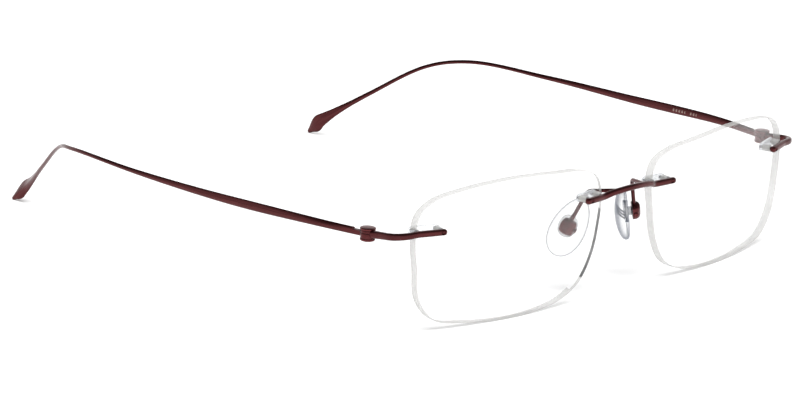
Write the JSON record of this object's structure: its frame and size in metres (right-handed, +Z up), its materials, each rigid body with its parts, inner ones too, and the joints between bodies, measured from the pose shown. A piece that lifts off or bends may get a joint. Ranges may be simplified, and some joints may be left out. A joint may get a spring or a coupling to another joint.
{
  "type": "rimless eyeglasses",
  "caption": "Rimless eyeglasses: clear lenses on a slim brown metal bridge and endpieces, rocking clear nose pads and slim folding metal temples with leaf-shaped ends.",
  "frame": {"origin": "centre of the footprint box on the surface that the open glasses stand on", "axes": "+Y runs back along the temples, +X to the wearer's left, +Z up"},
  "size_m": [0.141, 0.1484, 0.0322],
  "materials": {
    "brown_lacquer": "translucent brown lacquer over fine brushed metal, satin gloss",
    "brown_hardware": "same brown lacquer on turned heads and nuts",
    "lens_clear": "clear polished faces with a finely ground edge",
    "sleeve_clear": "clear moulded plastic",
    "pad_silicone": "clear soft silicone, slightly blue",
    "pad_core_clear": "clear moulded plastic"
  },
  "bodies": {
    "front": {"bridge_bar": "brown_lacquer", "endpiece_left": "brown_lacquer", "endpiece_right": "brown_lacquer", "hinge_nut_left": "brown_hardware", "hinge_nut_right": "brown_hardware", "hinge_screw_left": "brown_hardware", "hinge_screw_right": "brown_hardware", "lens_left": "lens_clear", "lens_right": "lens_clear", "pad_arm_left": "brown_lacquer", "pad_arm_right": "brown_lacquer", "pad_box_left": "brown_lacquer", "pad_box_right": "brown_lacquer", "pad_screw_left": "brown_hardware", "pad_screw_right": "brown_hardware", "sleeve_nasal_left": "sleeve_clear", "sleeve_nasal_right": "sleeve_clear", "sleeve_temporal_left": "sleeve_clear", "sleeve_temporal_right": "sleeve_clear"},
    "temple_left": {"temple_left": "brown_lacquer"},
    "temple_right": {"temple_right": "brown_lacquer"},
    "nose_pad_left": {"nose_pad_left": "pad_silicone", "pad_core_left": "pad_core_clear"},
    "nose_pad_right": {"nose_pad_right": "pad_silicone", "pad_core_right": "pad_core_clear"}
  },
  "joints": [
    {"name": "temple_left_fold", "type": "hinge", "parent": "front", "child": "temple_left", "pos_m": [0.0667, -0.05537, 0.02186], "axis": [0, -0.0388, 0.9992], "range_deg": [0, 85]},
    {"name": "temple_right_fold", "type": "hinge", "parent": "front", "child": "temple_right", "pos_m": [-0.0667, -0.05537, 0.02186], "axis": [0, 0.0388, -0.9992], "range_deg": [0, 78]},
    {"name": "nose_pad_left_rock", "type": "hinge", "parent": "front", "child": "nose_pad_left", "pos_m": [0.01141, -0.0644, 0.01548], "axis": [-0.5501, -0.7137, -0.4337], "range_deg": [-6, 6]},
    {"name": "nose_pad_right_rock", "type": "hinge", "parent": "front", "child": "nose_pad_right", "pos_m": [-0.01141, -0.0644, 0.01548], "axis": [0.5501, -0.7137, -0.4337], "range_deg": [-6, 6]}
  ]
}
